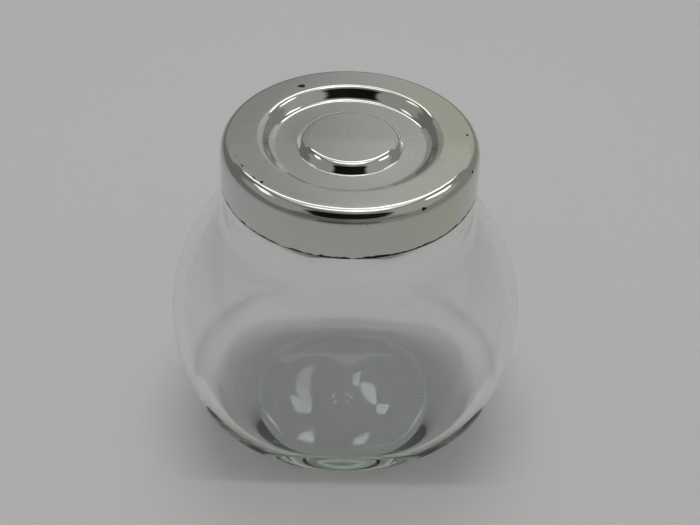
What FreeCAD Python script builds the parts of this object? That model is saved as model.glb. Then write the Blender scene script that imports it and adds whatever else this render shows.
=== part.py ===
import FreeCAD, Part
import math
import os

# Glass spice jar: a hollow glass globe with two flat round faces, closed by a thin cap.
# Frame: millimetres, +Z up, origin at the middle of the base, where the jar stands.
# The flat faces look along -Y and +Y. Every solid is turned about Z, then cut by the flats.

# --- overall sizes ---------------------------------------------------------------------
body_radius = 37.4         # outside of the globe
body_depth = 48.0          # across the two flat faces
base_radius = 19.85        # where the globe meets the surface that it stands on
collar_length = 7.7        # round glass collar between the globe and the cap

# --- glass -----------------------------------------------------------------------------
glass_wall = 2.4
floor_thickness = 5.3      # glass under the inside floor, measured from the surface
flat_edge_rounding = 5.0   # where a flat face runs into the globe, outside
inner_edge_rounding = 3.6  # the same edge, inside
floor_edge_rounding = 9.0  # where the globe runs into the floor, inside
heel_rounding = 3.0        # where the globe runs into the base
shoulder_rounding = 5.0    # where the globe runs into the collar
throat_rounding = 8.0      # the same place inside, where the globe runs into the mouth
lip_rounding = 0.9
bearing_ring_inner = 15.4  # the ring that the jar stands on
push_up = 0.7              # depth of the shallow hollow under the base, inside that ring

# --- cap -------------------------------------------------------------------------------
cap_radius = 25.0          # outside of the skirt at its lower edge
cap_height = 9.3
cap_wall = 1.3
skirt_draft = 0.6          # the skirt is this much slimmer at the top
rim_rounding = 2.5         # where the skirt runs into the top
rim_width = 7.6            # from the skirt's top in to the round groove in the cap's top
groove_depth = 2.0
groove_slope = 1.7         # the groove's outer wall leans in by this much
groove_rounding = 1.9
groove_floor_width = 4.95  # from that wall's foot in to the foot of the raised button
button_slope = 1.35        # the button's wall leans in by this much
button_sunk = 0.52         # the button's top below the rim's top
button_rounding = 2.4
button_foot_rounding = 0.6

# --- how the cap fits the neck ---------------------------------------------------------
neck_clearance = 0.45      # cap skirt to glass neck, all round
collar_clearance = 0.4     # cap skirt down to the glass collar
collar_inset = 0.1         # the collar is this much slimmer than the skirt
neck_wall = 2.9

# --- worked out from the sizes above ---------------------------------------------------
flat_distance = body_depth / 2.0
inner_radius = body_radius - glass_wall
rim_radius = cap_radius - skirt_draft
skirt_inner = rim_radius - cap_wall
neck_radius = skirt_inner - neck_clearance
mouth_radius = neck_radius - neck_wall
collar_radius = cap_radius - collar_inset
groove_outer = rim_radius - rim_width
groove_floor_outer = groove_outer - groove_slope
button_foot_radius = groove_floor_outer - groove_floor_width
button_top_radius = button_foot_radius - button_slope
body_centre_height = math.sqrt(body_radius ** 2 - base_radius ** 2)
shoulder_height = body_centre_height + math.sqrt(body_radius ** 2 - collar_radius ** 2)
collar_top = shoulder_height + collar_length
skirt_bottom = collar_top + collar_clearance
jar_height = skirt_bottom + cap_height
lip_height = jar_height - cap_wall
LARGE = 4.0 * jar_height


def point(distance, height):
    return FreeCAD.Vector(distance, 0, height)


def line(start, end):
    return Part.LineSegment(point(*start), point(*end)).toShape()


def globe_arc(radius, start, end):
    """The stretch of a globe's meridian between two of its points."""
    low = math.atan2(start[1] - body_centre_height, start[0])
    high = math.atan2(end[1] - body_centre_height, end[0])
    middle = (low + high) / 2.0
    through = (radius * math.cos(middle), body_centre_height + radius * math.sin(middle))
    return Part.Arc(point(*start), point(*through), point(*end)).toShape()


def push_up_arc():
    """The shallow hollow under the base, from the axis out to the bearing ring."""
    radius = (push_up ** 2 + bearing_ring_inner ** 2) / (2.0 * push_up)
    half = bearing_ring_inner / 2.0
    through = (half, push_up - radius + math.sqrt(radius ** 2 - half ** 2))
    return Part.Arc(point(0, push_up), point(*through), point(bearing_ring_inner, 0)).toShape()


def outline(corners):
    """Straight edges that join the corners in order and end at the first again."""
    return [line(a, b) for a, b in zip(corners, corners[1:] + corners[:1])]


def turned(edges):
    """A solid of revolution about Z from the edges of a closed outline."""
    face = Part.Face(Part.Wire(Part.__sortEdges__(edges)))
    return face.revolve(FreeCAD.Vector(0, 0, 0), FreeCAD.Vector(0, 0, 1), 360)


def ring_edges(solid, distance, height):
    """The circular edges about Z at this distance from the axis and this height."""
    found = []
    for edge in solid.Edges:
        if edge.Degenerated or not isinstance(edge.Curve, Part.Circle):
            continue
        circle = edge.Curve
        centred = math.hypot(circle.Center.x, circle.Center.y) < 1e-6
        level = abs(circle.Center.z - height) < 1e-4
        if centred and level and abs(circle.Radius - distance) < 1e-4:
            found.append(edge)
    return found


def rounded(solid, rings, radius):
    """The solid with its edges at each (distance, height) rounded."""
    edges = [edge for ring in rings for edge in ring_edges(solid, *ring)]
    return solid.makeFillet(radius, edges)


def between_flats(solid, distance, top):
    """Cut the solid, below the height top, by two upright planes facing -Y and +Y."""
    for side in (-1, 1):
        near = distance if side > 0 else -distance - LARGE
        slab = Part.makeBox(2 * LARGE, LARGE, LARGE + top, FreeCAD.Vector(-LARGE, near, -LARGE))
        solid = solid.cut(slab)
    return solid


def flat_edges(solid, distance):
    """The edges that bound the two flat faces, apart from a level one at the top."""
    found = []
    for face in solid.Faces:
        box = face.BoundBox
        if box.YLength > 1e-6 or abs(abs(box.YMin) - distance) > 1e-6:
            continue
        for edge in face.Edges:
            level = edge.BoundBox.ZLength < 1e-6
            if not level or edge.BoundBox.ZMax < body_centre_height:
                found.append(edge)
    return found


def glass_outside():
    heel = (base_radius, 0.0)
    shoulder = (collar_radius, shoulder_height)
    body = turned([
        push_up_arc(),
        line((bearing_ring_inner, 0), heel),
        globe_arc(body_radius, heel, shoulder),
        line(shoulder, (collar_radius, collar_top)),
        line((collar_radius, collar_top), (neck_radius, collar_top)),
        line((neck_radius, collar_top), (neck_radius, lip_height)),
        line((neck_radius, lip_height), (0, lip_height)),
        line((0, lip_height), (0, push_up)),
    ])
    body = rounded(body, [heel], heel_rounding)
    body = rounded(body, [shoulder], shoulder_rounding)
    body = rounded(body, [(neck_radius, lip_height)], lip_rounding)
    body = between_flats(body, flat_distance, collar_top)
    return body.makeFillet(flat_edge_rounding, flat_edges(body, flat_distance))


def glass_inside():
    floor_drop = body_centre_height - floor_thickness
    floor = (math.sqrt(inner_radius ** 2 - floor_drop ** 2), floor_thickness)
    throat = (mouth_radius, body_centre_height + math.sqrt(inner_radius ** 2 - mouth_radius ** 2))
    above = jar_height + LARGE
    hollow = turned([
        line((0, floor_thickness), floor),
        globe_arc(inner_radius, floor, throat),
        line(throat, (mouth_radius, above)),
        line((mouth_radius, above), (0, above)),
        line((0, above), (0, floor_thickness)),
    ])
    hollow = rounded(hollow, [throat], throat_rounding)
    hollow = rounded(hollow, [floor], floor_edge_rounding)
    hollow = between_flats(hollow, flat_distance - glass_wall, throat[1] + throat_rounding)
    return hollow.makeFillet(inner_edge_rounding, flat_edges(hollow, flat_distance - glass_wall))


def glass_jar():
    jar = glass_outside().cut(glass_inside())
    return rounded(jar, [(mouth_radius, lip_height)], lip_rounding)


def cap():
    top = jar_height
    groove_floor = top - groove_depth
    button_top = top - button_sunk
    outside = turned(outline([
        (0, skirt_bottom), (cap_radius, skirt_bottom), (rim_radius, top), (groove_outer, top),
        (groove_floor_outer, groove_floor), (button_foot_radius, groove_floor),
        (button_top_radius, button_top), (0, button_top),
    ]))
    outside = rounded(outside, [(rim_radius, top)], rim_rounding)
    outside = rounded(outside, [(groove_outer, top), (groove_floor_outer, groove_floor)], groove_rounding)
    outside = rounded(outside, [(button_foot_radius, groove_floor)], button_foot_rounding)
    outside = rounded(outside, [(button_top_radius, button_top)], button_rounding)
    inside = turned(outline([
        (0, skirt_bottom - 1), (skirt_inner, skirt_bottom - 1), (skirt_inner, top - cap_wall),
        (groove_outer + cap_wall, top - cap_wall),
        (groove_floor_outer + cap_wall, groove_floor - cap_wall),
        (button_foot_radius - cap_wall, groove_floor - cap_wall),
        (button_top_radius - cap_wall, button_top - cap_wall), (0, button_top - cap_wall),
    ]))
    inside = rounded(inside, [(skirt_inner, top - cap_wall)], rim_rounding - cap_wall)
    return outside.cut(inside)


os.makedirs("parts", exist_ok=True)
glass_jar().exportStep("parts/glass_jar.step")
cap().exportStep("parts/cap.step")
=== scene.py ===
import math

import bmesh
import bpy
from mathutils import Matrix, Vector


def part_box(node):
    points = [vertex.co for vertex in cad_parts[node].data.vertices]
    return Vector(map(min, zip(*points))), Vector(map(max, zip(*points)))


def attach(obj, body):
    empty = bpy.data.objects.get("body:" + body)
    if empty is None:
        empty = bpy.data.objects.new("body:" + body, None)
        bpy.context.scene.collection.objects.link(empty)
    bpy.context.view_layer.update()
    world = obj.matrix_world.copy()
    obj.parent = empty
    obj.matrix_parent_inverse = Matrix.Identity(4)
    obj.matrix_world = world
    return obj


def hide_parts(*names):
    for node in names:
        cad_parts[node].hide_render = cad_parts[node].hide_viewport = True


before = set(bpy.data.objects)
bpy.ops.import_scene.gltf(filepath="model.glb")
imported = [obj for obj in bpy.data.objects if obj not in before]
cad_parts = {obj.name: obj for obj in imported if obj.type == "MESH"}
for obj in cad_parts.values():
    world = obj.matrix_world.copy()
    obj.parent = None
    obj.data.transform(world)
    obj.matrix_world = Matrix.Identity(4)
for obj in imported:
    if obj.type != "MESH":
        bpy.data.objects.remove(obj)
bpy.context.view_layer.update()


# ---- The glass jar ---------------------------------------------------------------------
# A globe of clear pressed glass with a flat round window in front and another behind.
# It stands on a knurled ring round a shallow hollow under its base, and a round collar
# under the cap carries the plain neck and the lip.
MM = 0.001
jar_low, jar_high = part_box("glass_jar")
cap_low, cap_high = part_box("cap")
GLOBE_RADIUS = jar_high[0]
FLAT_DISTANCE = jar_high[1]
LIP_HEIGHT = jar_high[2]
BASE_RADIUS = 19.85 * MM
HEEL_ROUNDING = 3.0 * MM
COLLAR_RADIUS = 24.9 * MM
COLLAR_CLEARANCE = 0.4 * MM
COLLAR_TOP = cap_low[2] - COLLAR_CLEARANCE
COLLAR_EDGE = 0.3 * MM
SHOULDER_ROUNDING = 5.0 * MM
NECK_RADIUS = 22.65 * MM
MOUTH_RADIUS = 19.75 * MM
LIP_ROUNDING = 0.9 * MM
WALL = 2.4 * MM
FLOOR_TOP = 5.3 * MM
THROAT_ROUNDING = 8.0 * MM
FLAT_EDGE = 5.0 * MM
INNER_FLAT_EDGE = 5.6 * MM
FLOOR_EDGE = 9.0 * MM
FLOOR_FLAT_EDGE = 5.0 * MM
RING_INNER = 15.4 * MM
PUSH_UP = 0.7 * MM
KNURLS = 96
KNURL_DEPTH = 0.16 * MM
KNURL_INNER = 16.6 * MM
FLOOR_WAVE = 0.01 * MM
WAVES_ACROSS = 420.0
WAVES_ALONG = 330.0
JAR_TURNS = 384
SAME_PLACE = 1e-6
HALVINGS = 18
GLOBE_CENTRE = math.sqrt(GLOBE_RADIUS ** 2 - BASE_RADIUS ** 2)


def arc(centre, radius, start, end, steps):
    """Points of an arc in the (distance from axis, height) plane, angles in degrees."""
    points = []
    for step in range(steps + 1):
        angle = math.radians(start + (end - start) * step / steps)
        points.append((centre[0] + radius * math.cos(angle), centre[1] + radius * math.sin(angle)))
    return points


def straight(start, end, steps):
    return [(start[0] + (end[0] - start[0]) * step / steps,
             start[1] + (end[1] - start[1]) * step / steps) for step in range(1, steps)]


def spin_wall(bm, points, turns):
    """Spins an open outline once round Z and returns the new vertices."""
    before = set(bm.verts)
    line = [bm.verts.new((distance, 0.0, height)) for distance, height in points]
    edges = [bm.edges.new(pair) for pair in zip(line, line[1:])]
    bmesh.ops.spin(bm, geom=line + edges, cent=(0, 0, 0), axis=(0, 0, 1),
                   angle=math.tau, steps=turns, use_merge=True)
    made = [vert for vert in bm.verts if vert not in before]
    bmesh.ops.remove_doubles(bm, verts=made, dist=SAME_PLACE)
    return [vert for vert in bm.verts if vert not in before]


def press_flats(verts, distance, side_rounding, floor_rounding):
    """Presses a spun wall flat at y = +-distance, with an edge rounded as by a fillet."""
    for vert in verts:
        reach = math.hypot(vert.co.x, vert.co.y)
        if reach < SAME_PLACE:
            continue
        side = abs(vert.co.y) / reach
        lean = math.hypot(vert.normal.x, vert.normal.y)
        corner = math.acos(min(1.0, lean * distance / reach))
        rounding = side_rounding * lean + floor_rounding * (1.0 - lean)
        blend = max(4.0 * rounding * (1.0 - math.cos(corner / 2.0)), SAME_PLACE)
        if reach * side < distance - blend:
            continue
        near, far = 0.5 * reach, reach
        for _ in range(HALVINGS):
            halfway = (near + far) / 2.0
            round_gap = (halfway - reach) * lean
            flat_gap = halfway * side - distance
            overlap = max(blend - abs(round_gap - flat_gap), 0.0)
            too_far = max(round_gap, flat_gap) + overlap ** 2 / (4.0 * blend) > 0.0
            near, far = (near, halfway) if too_far else (halfway, far)
        vert.co.x *= near / reach
        vert.co.y *= near / reach


dish_radius = (PUSH_UP ** 2 + RING_INNER ** 2) / (2.0 * PUSH_UP)
dish_angle = math.degrees(math.acos(RING_INNER / dish_radius))
heel_x = math.sqrt((GLOBE_RADIUS - HEEL_ROUNDING) ** 2 - (GLOBE_CENTRE - HEEL_ROUNDING) ** 2)
heel_angle = math.degrees(math.atan2(HEEL_ROUNDING - GLOBE_CENTRE, heel_x))
shoulder_x = COLLAR_RADIUS + SHOULDER_ROUNDING
shoulder_rise = math.sqrt((GLOBE_RADIUS + SHOULDER_ROUNDING) ** 2 - shoulder_x ** 2)
shoulder_angle = math.degrees(math.atan2(shoulder_rise, shoulder_x))
shoulder_z = GLOBE_CENTRE + shoulder_rise
outside = arc((0.0, PUSH_UP - dish_radius), dish_radius, 90, dish_angle, 9)
outside += straight((RING_INNER, 0.0), (KNURL_INNER, 0.0), 2)
outside += [(KNURL_INNER, 0.0)]
outside += straight((KNURL_INNER, 0.0), (heel_x, 0.0), 3)
outside += arc((heel_x, HEEL_ROUNDING), HEEL_ROUNDING, -90, heel_angle, 9)
outside += arc((0.0, GLOBE_CENTRE), GLOBE_RADIUS, heel_angle, shoulder_angle, 56)[1:]
outside += arc((shoulder_x, shoulder_z), SHOULDER_ROUNDING, shoulder_angle + 180, 180, 9)[1:]
outside += straight((COLLAR_RADIUS, shoulder_z), (COLLAR_RADIUS, COLLAR_TOP - COLLAR_EDGE), 3)
outside += arc((COLLAR_RADIUS - COLLAR_EDGE, COLLAR_TOP - COLLAR_EDGE), COLLAR_EDGE, 0, 90, 3)
outside += [(NECK_RADIUS, COLLAR_TOP), (NECK_RADIUS, LIP_HEIGHT - LIP_ROUNDING - 0.2 * MM)]
outside += arc((NECK_RADIUS - LIP_ROUNDING, LIP_HEIGHT - LIP_ROUNDING), LIP_ROUNDING, 0, 90, 5)

inner_radius = GLOBE_RADIUS - WALL
throat_x = MOUTH_RADIUS + THROAT_ROUNDING
throat_rise = math.sqrt((inner_radius + THROAT_ROUNDING) ** 2 - throat_x ** 2)
throat_angle = math.degrees(math.atan2(throat_rise, throat_x))
throat_z = GLOBE_CENTRE + throat_rise
floor_drop = GLOBE_CENTRE - FLOOR_TOP - FLOOR_EDGE
floor_x = math.sqrt((inner_radius - FLOOR_EDGE) ** 2 - floor_drop ** 2)
floor_angle = math.degrees(math.atan2(-floor_drop, floor_x))
inside = [outside[-1]]
inside += arc((MOUTH_RADIUS + LIP_ROUNDING, LIP_HEIGHT - LIP_ROUNDING), LIP_ROUNDING, 90, 180, 5)
inside += straight((MOUTH_RADIUS, LIP_HEIGHT - LIP_ROUNDING), (MOUTH_RADIUS, throat_z), 4)
inside += arc((throat_x, throat_z), THROAT_ROUNDING, 180, 180 + throat_angle, 12)
inside += arc((0.0, GLOBE_CENTRE), inner_radius, throat_angle, floor_angle, 46)[1:]
inside += arc((floor_x, FLOOR_TOP + FLOOR_EDGE), FLOOR_EDGE, floor_angle, -90, 14)[1:]
inside += straight((floor_x, FLOOR_TOP), (0.0, FLOOR_TOP), 12)
inside += [(0.0, FLOOR_TOP)]

jar_mesh = bmesh.new()
walls = []
for points, distance, side_rounding, floor_rounding in (
        (outside, FLAT_DISTANCE, FLAT_EDGE, FLAT_EDGE),
        (inside, FLAT_DISTANCE - WALL, INNER_FLAT_EDGE, FLOOR_FLAT_EDGE)):
    wall = spin_wall(jar_mesh, points, JAR_TURNS)
    jar_mesh.normal_update()
    press_flats(wall, distance, side_rounding, floor_rounding)
    walls.append(wall)

# The outer part of the ring that the jar stands on is knurled with short radial bars.
for vert in walls[0]:
    reach = math.hypot(vert.co.x, vert.co.y)
    if vert.co.z < 0.05 * MM and reach > KNURL_INNER:
        angle = math.atan2(vert.co.y, vert.co.x)
        vert.co.z += KNURL_DEPTH * (0.5 - 0.5 * math.cos(KNURLS * angle))

# The plunger that pressed the inside left the floor a little uneven.
for vert in walls[1]:
    if vert.co.z < FLOOR_TOP + 0.01 * MM:
        wave = math.sin(WAVES_ACROSS * vert.co.x + 1.1) * math.cos(WAVES_ALONG * vert.co.y - 0.6)
        vert.co.z += FLOOR_WAVE * wave

bmesh.ops.remove_doubles(jar_mesh, verts=jar_mesh.verts, dist=SAME_PLACE)
bmesh.ops.recalc_face_normals(jar_mesh, faces=jar_mesh.faces)
for face in jar_mesh.faces:
    face.smooth = True


def finished_piece(name, bm, *materials):
    mesh = bpy.data.meshes.new(name)
    bm.to_mesh(mesh)
    bm.free()
    for material in materials:
        mesh.materials.append(material)
    piece = bpy.data.objects.new(name, mesh)
    bpy.context.scene.collection.objects.link(piece)
    return piece


def new_material(name):
    """A node material with a Principled BSDF, returned as (material, nodes, links, shader)."""
    material = bpy.data.materials.new(name)
    material.use_nodes = True
    nodes = material.node_tree.nodes
    return material, nodes, material.node_tree.links, nodes["Principled BSDF"]


def calculation(nodes, links, operation, *values):
    """A Math node whose inputs are numbers or sockets; returns its output."""
    node = nodes.new("ShaderNodeMath")
    node.operation = operation
    for slot, value in zip(node.inputs, values):
        if isinstance(value, (int, float)):
            slot.default_value = value
        else:
            links.new(value, slot)
    return node.outputs["Value"]


def soft_step(nodes, links, value, start, end):
    """0 where the value is below start, 1 above end and smooth between; a mask."""
    node = nodes.new("ShaderNodeMapRange")
    node.interpolation_type = "SMOOTHSTEP"
    node.inputs["From Min"].default_value = start
    node.inputs["From Max"].default_value = end
    links.new(value, node.inputs["Value"])
    return node.outputs["Result"]


def handling_marks_group():
    """Faint smears and hair scratches, such as every handled surface has, as one mask."""
    group = bpy.data.node_groups.new("handling_marks", "ShaderNodeTree")
    sockets = group.interface
    sockets.new_socket("Place", in_out="INPUT", socket_type="NodeSocketVector")
    sockets.new_socket("Smear Scale", in_out="INPUT", socket_type="NodeSocketFloat")
    sockets.new_socket("Scratch Scale", in_out="INPUT", socket_type="NodeSocketFloat")
    sockets.new_socket("Smears", in_out="OUTPUT", socket_type="NodeSocketFloat")
    sockets.new_socket("Scratches", in_out="OUTPUT", socket_type="NodeSocketFloat")
    nodes, links = group.nodes, group.links
    source = nodes.new("NodeGroupInput")
    result = nodes.new("NodeGroupOutput")
    smear = nodes.new("ShaderNodeTexNoise")
    smear.inputs["Detail"].default_value = 4.0
    links.new(source.outputs["Place"], smear.inputs["Vector"])
    links.new(source.outputs["Smear Scale"], smear.inputs["Scale"])
    links.new(soft_step(nodes, links, smear.outputs["Fac"], 0.46, 0.70), result.inputs["Smears"])
    turned = nodes.new("ShaderNodeMapping")
    turned.inputs["Rotation"].default_value = (0.2, 0.1, 0.7)
    turned.inputs["Scale"].default_value = (1.0, 0.05, 1.0)
    links.new(source.outputs["Place"], turned.inputs["Vector"])
    scratch = nodes.new("ShaderNodeTexNoise")
    scratch.inputs["Detail"].default_value = 2.0
    links.new(turned.outputs["Vector"], scratch.inputs["Vector"])
    links.new(source.outputs["Scratch Scale"], scratch.inputs["Scale"])
    links.new(soft_step(nodes, links, scratch.outputs["Fac"], 0.67, 0.76), result.inputs["Scratches"])
    return group


handling_marks = handling_marks_group()


def add_handling_marks(nodes, links, place, smear_scale, scratch_scale):
    marks = nodes.new("ShaderNodeGroup")
    marks.node_tree = handling_marks
    links.new(place, marks.inputs["Place"])
    marks.inputs["Smear Scale"].default_value = smear_scale
    marks.inputs["Scratch Scale"].default_value = scratch_scale
    return marks.outputs["Smears"], marks.outputs["Scratches"]


# Clear soda glass: a little grey green in its thickness, faintly rippled by the mould, and
# with a thin film of dust on its surfaces. Lamps shine through it, so its shadow stays light.
FILMED_SURFACE = (0.965, 0.97, 0.965, 1.0)
GLASS_IOR = 1.51
GLASS_IN_DEPTH = (0.68, 0.78, 0.69, 1.0)
GLASS_DENSITY = 24.0
GLASS_SHADOW = (0.45, 0.46, 0.45, 1.0)
glass, nodes, links, shader = new_material("clear_glass")
shader.inputs["Base Color"].default_value = FILMED_SURFACE
shader.inputs["Transmission Weight"].default_value = 1.0
shader.inputs["IOR"].default_value = GLASS_IOR
place = nodes.new("ShaderNodeTexCoord").outputs["Object"]
smears, scratches = add_handling_marks(nodes, links, place, 160.0, 900.0)
links.new(calculation(nodes, links, "MULTIPLY", smears, 0.03), shader.inputs["Roughness"])
ripple = nodes.new("ShaderNodeTexNoise")
ripple.inputs["Scale"].default_value = 60.0
ripple.inputs["Detail"].default_value = 1.5
links.new(place, ripple.inputs["Vector"])
bump = nodes.new("ShaderNodeBump")
bump.inputs["Strength"].default_value = 0.008
bump.inputs["Distance"].default_value = 0.0015
links.new(ripple.outputs["Fac"], bump.inputs["Height"])
links.new(bump.outputs["Normal"], shader.inputs["Normal"])
light_path = nodes.new("ShaderNodeLightPath")
clear = nodes.new("ShaderNodeBsdfTransparent")
clear.inputs["Color"].default_value = GLASS_SHADOW
either = nodes.new("ShaderNodeMixShader")
links.new(light_path.outputs["Is Shadow Ray"], either.inputs["Fac"])
links.new(shader.outputs["BSDF"], either.inputs[1])
links.new(clear.outputs["BSDF"], either.inputs[2])
depth_tint = nodes.new("ShaderNodeVolumeAbsorption")
depth_tint.inputs["Color"].default_value = GLASS_IN_DEPTH
depth_tint.inputs["Density"].default_value = GLASS_DENSITY
output = nodes["Material Output"]
links.new(either.outputs["Shader"], output.inputs["Surface"])
links.new(depth_tint.outputs["Volume"], output.inputs["Volume"])

jar = finished_piece("globe_of_glass", jar_mesh, glass)
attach(jar, "root")
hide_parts("glass_jar")


# ---- The cap ---------------------------------------------------------------------------
# A thin moulded cap of dark plastic with a bright vacuum-metal coat on its outside. Its
# top has a round groove and a low button, and its skirt slips over the neck until the cap
# rests on the lip. The coat has worn off in spots, and the skirt's lower edge is dark.
CAP_TOP = cap_high[2]
SKIRT_BOTTOM = cap_low[2]
SKIRT_RADIUS = cap_high[0]
SKIRT_DRAFT = 0.6 * MM
RIM_RADIUS = SKIRT_RADIUS - SKIRT_DRAFT
CAP_WALL = 1.3 * MM
RIM_ROUNDING = 2.5 * MM
SKIRT_EDGE = 0.3 * MM
GROOVE_FLOOR = CAP_TOP - 2.0 * MM
BUTTON_TOP = CAP_TOP - 0.52 * MM
GROOVE_OUTER = RIM_RADIUS - 7.6 * MM
GROOVE_FLOOR_OUTER = GROOVE_OUTER - 1.7 * MM
GROOVE_ROUNDING = 1.9 * MM
BUTTON_FOOT_RADIUS = GROOVE_FLOOR_OUTER - 4.95 * MM
BUTTON_TOP_RADIUS = BUTTON_FOOT_RADIUS - 1.35 * MM
BUTTON_ROUNDING = 2.4 * MM
BUTTON_FOOT_ROUNDING = 0.6 * MM
INNER_ROUNDING = 0.3 * MM
CAP_TURNS = 256


def rounded_outline(corners, steps):
    """An open outline through (distance, height, rounding) corners, each cut by an arc."""
    points = [corners[0][:2]]
    for back, here, ahead in zip(corners, corners[1:], corners[2:]):
        corner = Vector(here[:2])
        to_back = (Vector(back[:2]) - corner).normalized()
        to_ahead = (Vector(ahead[:2]) - corner).normalized()
        half = to_back.angle(to_ahead) / 2.0
        setback = here[2] / math.tan(half)
        centre = corner + (to_back + to_ahead).normalized() * (here[2] / math.sin(half))
        first = (corner + to_back * setback - centre).normalized()
        last = (corner + to_ahead * setback - centre).normalized()
        for step in range(steps + 1):
            points.append(tuple(centre + first.slerp(last, step / steps) * here[2]))
    points.append(corners[-1][:2])
    return points


cap_outline = rounded_outline([
    (0.0, BUTTON_TOP, 0.0),
    (BUTTON_TOP_RADIUS, BUTTON_TOP, BUTTON_ROUNDING),
    (BUTTON_FOOT_RADIUS, GROOVE_FLOOR, BUTTON_FOOT_ROUNDING),
    (GROOVE_FLOOR_OUTER, GROOVE_FLOOR, GROOVE_ROUNDING),
    (GROOVE_OUTER, CAP_TOP, GROOVE_ROUNDING),
    (RIM_RADIUS, CAP_TOP, RIM_ROUNDING),
    (SKIRT_RADIUS, SKIRT_BOTTOM, SKIRT_EDGE),
    (RIM_RADIUS - CAP_WALL, SKIRT_BOTTOM, SKIRT_EDGE),
    (RIM_RADIUS - CAP_WALL, CAP_TOP - CAP_WALL, RIM_ROUNDING - CAP_WALL),
    (GROOVE_OUTER + CAP_WALL, CAP_TOP - CAP_WALL, INNER_ROUNDING),
    (GROOVE_FLOOR_OUTER + CAP_WALL, GROOVE_FLOOR - CAP_WALL, INNER_ROUNDING),
    (BUTTON_FOOT_RADIUS - CAP_WALL, GROOVE_FLOOR - CAP_WALL, INNER_ROUNDING),
    (BUTTON_TOP_RADIUS - CAP_WALL, BUTTON_TOP - CAP_WALL, INNER_ROUNDING),
    (0.0, BUTTON_TOP - CAP_WALL, 0.0),
], 12)
cap_mesh = bmesh.new()
spin_wall(cap_mesh, cap_outline, CAP_TURNS)
bmesh.ops.recalc_face_normals(cap_mesh, faces=cap_mesh.faces)
for face in cap_mesh.faces:
    face.smooth = True
    middle = face.calc_center_median()
    outward = (face.normal.x * middle.x + face.normal.y * middle.y) / math.hypot(middle.x, middle.y)
    under_top = face.normal.z < -0.3
    inside_skirt = outward < -0.5 and abs(face.normal.z) < 0.1
    face.material_index = 1 if under_top or inside_skirt else 0

# Each chip in the coat is (x, y, z, size), all in millimetres.
CHIPS = [
    (-9.8, 16.6, 77.0, 0.62),
    (-10.3, 16.5, 77.0, 0.42),
    (22.0, 0.6, 77.0, 0.28),
    (22.1, -9.4, 75.8, 0.34),
    (12.6, -20.4, 75.8, 0.36),
    (13.0, -20.2, 75.8, 0.26),
    (-15.6, -15.3, 77.0, 0.34),
    (2.9, -24.5, 75.3, 0.26),
    (3.2, -24.5, 75.0, 0.16),
    (3.8, -24.6, 73.7, 0.22),
]
# Where the rim has been rubbed, as (x from, x to, distance from the middle), in millimetres.
RUBS = [
    (-21.4, -15.2, 22.15),
    (16.4, 19.2, 22.6),
]
BARE_PLASTIC = (0.022, 0.020, 0.017, 1.0)
SCRATCHED_PLASTIC = (0.03, 0.028, 0.025, 1.0)
COAT = (0.60, 0.60, 0.58, 1.0)
# Painted reflection: this yellow tint stands in for the yellowish room mirrored on the coat's right
# side.
RIGHT_REFLECTION_TINT_COAT = (0.60, 0.61, 0.49, 1.0)
SCUFFED_COAT = (0.46, 0.46, 0.45, 1.0)

silvered, nodes, links, shader = new_material("silvered_plastic")
place = nodes.new("ShaderNodeTexCoord").outputs["Object"]
apart = nodes.new("ShaderNodeSeparateXYZ")
links.new(place, apart.inputs["Vector"])
smears, scratches = add_handling_marks(nodes, links, place, 130.0, 1500.0)

worn_and_dark_edge = None
for x, y, z, size in CHIPS:
    away = nodes.new("ShaderNodeVectorMath")
    away.operation = "DISTANCE"
    links.new(place, away.inputs[0])
    away.inputs[1].default_value = (x * MM, y * MM, z * MM)
    chip = soft_step(nodes, links, away.outputs["Value"], 1.15 * size * MM, 0.85 * size * MM)
    worn_and_dark_edge = chip if worn_and_dark_edge is None else calculation(nodes, links, "MAXIMUM", worn_and_dark_edge, chip)
# The skirt's lower edge gets a dark, frayed line in the plastic's colour.
crumbs = nodes.new("ShaderNodeTexNoise")
crumbs.inputs["Scale"].default_value = 480.0
crumbs.inputs["Detail"].default_value = 5.0
links.new(place, crumbs.inputs["Vector"])
frayed = calculation(nodes, links, "MULTIPLY_ADD", crumbs.outputs["Fac"], -1.4 * MM, apart.outputs["Z"])
dark_skirt_edge = soft_step(nodes, links, frayed, SKIRT_BOTTOM - 0.10 * MM, SKIRT_BOTTOM - 0.24 * MM)
worn_and_dark_edge = calculation(nodes, links, "MAXIMUM", worn_and_dark_edge, dark_skirt_edge)
flat_place = nodes.new("ShaderNodeVectorMath")
flat_place.operation = "MULTIPLY"
flat_place.inputs[1].default_value = (1.0, 1.0, 0.0)
links.new(place, flat_place.inputs[0])
from_middle = nodes.new("ShaderNodeVectorMath")
from_middle.operation = "LENGTH"
links.new(flat_place.outputs["Vector"], from_middle.inputs[0])
broken = soft_step(nodes, links, crumbs.outputs["Fac"], 0.46, 0.56)
in_front = soft_step(nodes, links, apart.outputs["Y"], 0.0, -2.0 * MM)
for start, end, distance in RUBS:
    off_line = calculation(nodes, links, "SUBTRACT", from_middle.outputs["Value"], distance * MM)
    off_line = calculation(nodes, links, "ABSOLUTE", off_line)
    rub = soft_step(nodes, links, off_line, 0.22 * MM, 0.06 * MM)
    after = soft_step(nodes, links, apart.outputs["X"], start * MM, (start + 0.8) * MM)
    before = soft_step(nodes, links, apart.outputs["X"], end * MM, (end - 0.8) * MM)
    for mask in (after, before, broken, in_front):
        rub = calculation(nodes, links, "MULTIPLY", rub, mask)
    worn_and_dark_edge = calculation(nodes, links, "MAXIMUM", worn_and_dark_edge, rub)

patches = nodes.new("ShaderNodeTexNoise")
patches.inputs["Scale"].default_value = 60.0
patches.inputs["Detail"].default_value = 2.0
links.new(place, patches.inputs["Vector"])
# Painted reflection: patches on the right of the coat are tinted yellow for the yellowish room it
# mirrors there.
to_right = soft_step(nodes, links, apart.outputs["X"], 2.0 * MM, 22.0 * MM)
painted_reflection_tint = calculation(nodes, links, "MULTIPLY", to_right,
                     soft_step(nodes, links, patches.outputs["Fac"], 0.30, 0.55))


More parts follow.
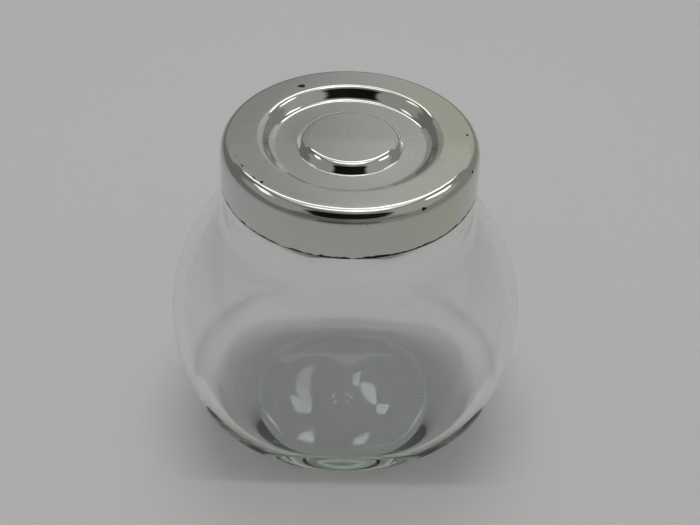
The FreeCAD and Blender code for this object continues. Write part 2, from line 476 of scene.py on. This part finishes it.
def blended(nodes, links, mask, first, second):
    """A colour mixed from the first to the second by a mask; colours or sockets."""
    node = nodes.new("ShaderNodeMix")
    node.data_type = "RGBA"
    links.new(mask, node.inputs["Factor"])
    for slot, colour in ((node.inputs[6], first), (node.inputs[7], second)):
        if isinstance(colour, tuple):
            slot.default_value = colour
        else:
            links.new(colour, slot)
    return node.outputs[2]


coat = blended(nodes, links, painted_reflection_tint, COAT, RIGHT_REFLECTION_TINT_COAT)
scuffed = calculation(nodes, links, "MULTIPLY", scratches, 0.5)
coat = blended(nodes, links, scuffed, coat, SCUFFED_COAT)
links.new(blended(nodes, links, worn_and_dark_edge, coat, BARE_PLASTIC), shader.inputs["Base Color"])
shader.inputs["Metallic"].default_value = 1.0
rubbed = calculation(nodes, links, "MULTIPLY_ADD", smears, 0.05, 0.055)
rubbed = calculation(nodes, links, "MULTIPLY_ADD", scratches, 0.10, rubbed)
links.new(calculation(nodes, links, "MULTIPLY_ADD", worn_and_dark_edge, 0.35, rubbed), shader.inputs["Roughness"])
orange_peel = nodes.new("ShaderNodeTexNoise")
orange_peel.inputs["Scale"].default_value = 210.0
orange_peel.inputs["Detail"].default_value = 2.0
links.new(place, orange_peel.inputs["Vector"])
relief = calculation(nodes, links, "MULTIPLY_ADD", worn_and_dark_edge, -0.6, orange_peel.outputs["Fac"])
bump = nodes.new("ShaderNodeBump")
bump.inputs["Strength"].default_value = 0.05
bump.inputs["Distance"].default_value = 0.0006
links.new(relief, bump.inputs["Height"])
links.new(bump.outputs["Normal"], shader.inputs["Normal"])

bare, nodes, links, shader = new_material("bare_plastic")
place = nodes.new("ShaderNodeTexCoord").outputs["Object"]
smears, scratches = add_handling_marks(nodes, links, place, 220.0, 1300.0)
links.new(blended(nodes, links, scratches, BARE_PLASTIC, SCRATCHED_PLASTIC),
          shader.inputs["Base Color"])
links.new(calculation(nodes, links, "MULTIPLY_ADD", smears, 0.15, 0.35), shader.inputs["Roughness"])

cap = finished_piece("silver_cap", cap_mesh, silvered, bare)
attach(cap, "root")
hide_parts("cap")


# ---- The table and the light -----------------------------------------------------------
# A plain pale table top, so wide that its edge is far off, in even light from all round.
# A narrow strip lamp overhead and a soft lamp behind it throw the jar's shadow.
TABLE_SIZE = 3.0
TABLE_COLOUR = (0.425, 0.42, 0.42, 1.0)
TABLE_GAP = 0.02 * MM
table_mesh = bmesh.new()
bmesh.ops.create_grid(table_mesh, x_segments=1, y_segments=1, size=TABLE_SIZE,
                      matrix=Matrix.Translation((0.0, 0.0, jar_low[2] - TABLE_GAP)))
table_paint, nodes, links, shader = new_material("pale_table")
shader.inputs["Base Color"].default_value = TABLE_COLOUR
shader.inputs["Roughness"].default_value = 0.8
table = finished_piece("table_top", table_mesh, table_paint)

world = bpy.data.worlds.new("room")
bpy.context.scene.world = world
world.use_nodes = True
nodes = world.node_tree.nodes
links = world.node_tree.links
background = nodes["Background"]
background.inputs["Color"].default_value = (1.0, 1.0, 1.0, 1.0)
light_path = nodes.new("ShaderNodeLightPath")


def room_panel_group():
    """A rectangle in one direction from the object, as a mask over all directions."""
    group = bpy.data.node_groups.new("room_panel", "ShaderNodeTree")
    sockets = group.interface
    sockets.new_socket("Direction", in_out="INPUT", socket_type="NodeSocketVector")
    sockets.new_socket("Turn", in_out="INPUT", socket_type="NodeSocketVector")
    sockets.new_socket("Half Width", in_out="INPUT", socket_type="NodeSocketFloat")
    sockets.new_socket("Half Height", in_out="INPUT", socket_type="NodeSocketFloat")
    sockets.new_socket("Mask", in_out="OUTPUT", socket_type="NodeSocketFloat")
    nodes, links = group.nodes, group.links
    source = nodes.new("NodeGroupInput")
    result = nodes.new("NodeGroupOutput")
    turned = nodes.new("ShaderNodeVectorRotate")
    turned.rotation_type = "EULER_XYZ"
    turned.invert = True
    links.new(source.outputs["Direction"], turned.inputs["Vector"])
    links.new(source.outputs["Turn"], turned.inputs["Rotation"])
    apart = nodes.new("ShaderNodeSeparateXYZ")
    links.new(turned.outputs["Vector"], apart.inputs["Vector"])
    ahead = calculation(nodes, links, "MAXIMUM", apart.outputs["Z"], 0.02)
    total = None
    for axis, half in (("X", "Half Width"), ("Y", "Half Height")):
        offset = calculation(nodes, links, "DIVIDE", apart.outputs[axis], ahead)
        share = calculation(nodes, links, "DIVIDE", offset, source.outputs[half])
        square = calculation(nodes, links, "MULTIPLY", share, share)
        fourth = calculation(nodes, links, "MULTIPLY", square, square)
        total = fourth if total is None else calculation(nodes, links, "ADD", total, fourth)
    links.new(soft_step(nodes, links, total, 1.5, 0.6), result.inputs["Mask"])
    return group


# Each panel of the room is (side, rise, half width, half height, brightness): side is in
# degrees from the front, positive to the right, rise is above level, and a later panel
# covers an earlier one. The small lamps behind the jar glint on its floor.
SMALL_LAMPS = [
    (180, 47.8, 3.7, 0.15, 1.6),
    (177.6, 49.1, 0.3, 0.5, 3.5),
    (176.5, 49.8, 0.35, 0.5, 4.0),
    (175.3, 50.6, 0.5, 0.4, 4.0),
    (-177.6, 49.2, 0.35, 0.5, 2.5),
    (-177.4, 50.0, 0.35, 0.45, 3.5),
    (-176.8, 50.7, 0.55, 0.35, 4.5),
    (177.0, 52.7, 0.45, 0.3, 5.0),
    (-177.6, 52.85, 0.4, 0.3, 5.5),
]
# These show only where a ray comes straight off a surface, as it does on the silver: windows
# on both sides, the bright far wall with its lamps, and the dark front with the onlooker.
MIRRORED_PANELS = [
    (-82, 50, 26, 22, 0.46),
    (82, 50, 26, 22, 0.38),
    (180, 28, 38, 15, 0.43),
    (180, 40, 38, 5, 0.49),
    (180, 62, 16, 19, 0.90),
    (180, 48, 20, 2.4, 3.0),
    (180, 70, 11, 3.2, 3.0),
    (-118, 54, 9, 4, 2.0),
    (119, 51, 6, 7, 2.0),
    (0, 28, 45, 10, 0.18),
    (0, 7, 25, 9, 0.11),
    (0, 60, 25, 21, 0.008),
]
WALLS = 0.25
CEILING_EXTRA = 0.1
LEFT_LEVEL = 0.80
RIGHT_EXTRA = 0.36
EVEN_LIGHT = 0.565
THROUGH_GLASS_EXTRA = 1.4
# The light that reaches the table through the glass is stronger, or the table would be too
# dark under the jar.
even_light = calculation(nodes, links, "MULTIPLY_ADD", light_path.outputs["Is Transmission Ray"],
                         THROUGH_GLASS_EXTRA, EVEN_LIGHT)
links.new(even_light, background.inputs["Strength"])
room_panel = room_panel_group()
direction = nodes.new("ShaderNodeTexCoord").outputs["Generated"]
apart = nodes.new("ShaderNodeSeparateXYZ")
links.new(direction, apart.inputs["Vector"])
brightness = calculation(nodes, links, "MULTIPLY_ADD",
                         soft_step(nodes, links, apart.outputs["Z"], 0.97, 1.0),
                         CEILING_EXTRA, WALLS)


def panel_mask(side, rise, half_width, half_height):
    panel = nodes.new("ShaderNodeGroup")
    panel.node_tree = room_panel
    links.new(direction, panel.inputs["Direction"])
    panel.inputs["Turn"].default_value = (math.radians(90 - rise), 0.0, math.radians(side))
    panel.inputs["Half Width"].default_value = math.tan(math.radians(half_width))
    panel.inputs["Half Height"].default_value = math.tan(math.radians(half_height))
    return panel.outputs["Mask"]


def covered(mask, below, level):
    layer = nodes.new("ShaderNodeMix")
    links.new(mask, layer.inputs["Factor"])
    links.new(below, layer.inputs[2])
    layer.inputs[3].default_value = level
    return layer.outputs[0]


for *panel, level in SMALL_LAMPS:
    brightness = covered(panel_mask(*panel), brightness, level)
mirrored = calculation(nodes, links, "SUBTRACT", light_path.outputs["Is Glossy Ray"],
                       light_path.outputs["Is Transmission Ray"])
for *panel, level in MIRRORED_PANELS:
    mask = calculation(nodes, links, "MULTIPLY", panel_mask(*panel), mirrored)
    brightness = covered(mask, brightness, level)
right_side = calculation(nodes, links, "MULTIPLY_ADD",
                         soft_step(nodes, links, apart.outputs["X"], -0.10, 0.09),
                         RIGHT_EXTRA, LEFT_LEVEL)
brightness = calculation(nodes, links, "MULTIPLY", brightness, right_side)
seen = nodes.new("ShaderNodeBackground")
seen.inputs["Color"].default_value = (0.98, 1.0, 0.97, 1.0)
links.new(brightness, seen.inputs["Strength"])
mirror_or_glass = calculation(nodes, links, "MAXIMUM", light_path.outputs["Is Glossy Ray"],
                              light_path.outputs["Is Transmission Ray"])
lights_the_table = calculation(nodes, links, "GREATER_THAN", light_path.outputs["Diffuse Depth"], 0.5)
mirror_or_glass = calculation(nodes, links, "SUBTRACT", mirror_or_glass, lights_the_table)
mirror_or_glass = calculation(nodes, links, "MAXIMUM", mirror_or_glass, 0.0)
either = nodes.new("ShaderNodeMixShader")
links.new(mirror_or_glass, either.inputs["Fac"])
links.new(background.outputs["Background"], either.inputs[1])
links.new(seen.outputs["Background"], either.inputs[2])
links.new(either.outputs["Shader"], nodes["World Output"].inputs["Surface"])

# Each lamp is (name, width, depth, watts, place), in metres.
LAMPS = [
    ("overhead_strip", 0.50, 0.02, 1.9, (0.0, -0.02, 0.9)),
    ("soft_lamp_behind", 0.50, 0.30, 1.7, (0.0, 0.20, 0.85)),
]
for name, width, depth, watts, location in LAMPS:
    lamp_data = bpy.data.lights.new(name, "AREA")
    lamp_data.shape = "RECTANGLE"
    lamp_data.size = width
    lamp_data.size_y = depth
    lamp_data.energy = watts
    lamp = bpy.data.objects.new(name, lamp_data)
    lamp.location = location
    lamp.rotation_euler = (Vector((0.0, 0.0, 0.03)) - lamp.location).to_track_quat("-Z", "Y").to_euler()
    lamp.visible_glossy = False
    lamp.visible_transmission = False
    bpy.context.scene.collection.objects.link(lamp)


# ---- The camera ------------------------------------------------------------------------
# It looks down on the jar from the front, close by, and is held a little off level.
CAMERA_DISTANCE = 180.19 * MM
CAMERA_RISE = math.radians(34.47)
CAMERA_SIDE = math.radians(0.86)
CAMERA_ROLL = math.radians(1.95)
reach = CAMERA_DISTANCE * math.cos(CAMERA_RISE)
eye = Vector((-reach * math.sin(CAMERA_SIDE), -reach * math.cos(CAMERA_SIDE),
              CAP_TOP + CAMERA_DISTANCE * math.sin(CAMERA_RISE)))
aim = Vector((0.70 * MM, 0.0, 44.48 * MM))
camera_data = bpy.data.cameras.new("camera")
camera_data.lens = 48.86
camera_data.sensor_width = 36.0
camera_data.clip_start = 0.005
camera = bpy.data.objects.new("camera", camera_data)
facing = (aim - eye).to_track_quat("-Z", "Y").to_matrix().to_4x4()
camera.matrix_world = Matrix.Translation(eye) @ facing @ Matrix.Rotation(CAMERA_ROLL, 4, "Z")
bpy.context.scene.collection.objects.link(camera)
bpy.context.scene.camera = camera
bpy.context.scene.view_settings.view_transform = "Standard"

# Light goes back and forth inside thick glass, so its paths may be long.
bpy.context.scene.cycles.max_bounces = 28
bpy.context.scene.cycles.glossy_bounces = 14
bpy.context.scene.cycles.transmission_bounces = 24
bpy.context.scene.cycles.transparent_max_bounces = 16
